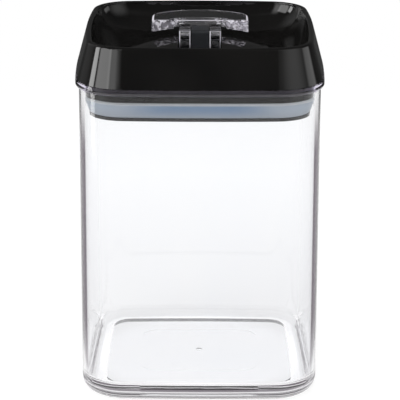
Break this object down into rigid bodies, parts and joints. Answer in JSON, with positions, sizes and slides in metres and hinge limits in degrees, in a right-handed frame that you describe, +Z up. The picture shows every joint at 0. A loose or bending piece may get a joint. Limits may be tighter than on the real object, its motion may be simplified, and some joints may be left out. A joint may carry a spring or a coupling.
{
  "type": "pantry container",
  "caption": "Tall square clear pantry container with a black dished lid; a clear flip lever with cams draws up a plate that squeezes a soft seal outwards against the wall.",
  "frame": {"origin": "middle of the foot, on the table", "axes": "+Z up through the lid, front (the side the picture shows) towards -Y, +X to the right seen from the front"},
  "size_m": [0.1194, 0.1194, 0.1747],
  "materials": {
    "clear_plastic": "clear, polished",
    "lid_black": "high gloss",
    "inner_black": "satin",
    "seal_silicone": "soft, translucent",
    "steel": "plain"
  },
  "bodies": {
    "container": {"container_body": "clear_plastic"},
    "lid": {"lid_cover": "lid_black", "lever_housing": "lid_black", "lid_base": "inner_black", "seal_gasket": "seal_silicone", "return_spring": "steel", "base_screws": "steel"},
    "plunger": {"plunger": "inner_black", "pivot_pin": "inner_black", "pressure_plate": "inner_black", "nut_washer": "seal_silicone", "plate_nut": "inner_black"},
    "lever": {"lever": "clear_plastic"}
  },
  "joints": [
    {"name": "lid_lift", "type": "slide", "parent": "container", "child": "lid", "axis": [0, 0, 1], "range_m": [0, 0.15]},
    {"name": "plunger_drop", "type": "slide", "parent": "lid", "child": "plunger", "axis": [0, 0, -1], "range_m": [0, 0.0025], "deforming": ["seal_gasket", "return_spring"]},
    {"name": "lever_flip", "type": "hinge", "parent": "plunger", "child": "lever", "pos_m": [0, 0, 0.1684], "axis": [1, 0, 0], "range_deg": [0, 90]}
  ],
  "couplings": [
    {"joint": "lever_flip", "follows": "plunger_drop", "rad_per_m": 628.31}
  ]
}
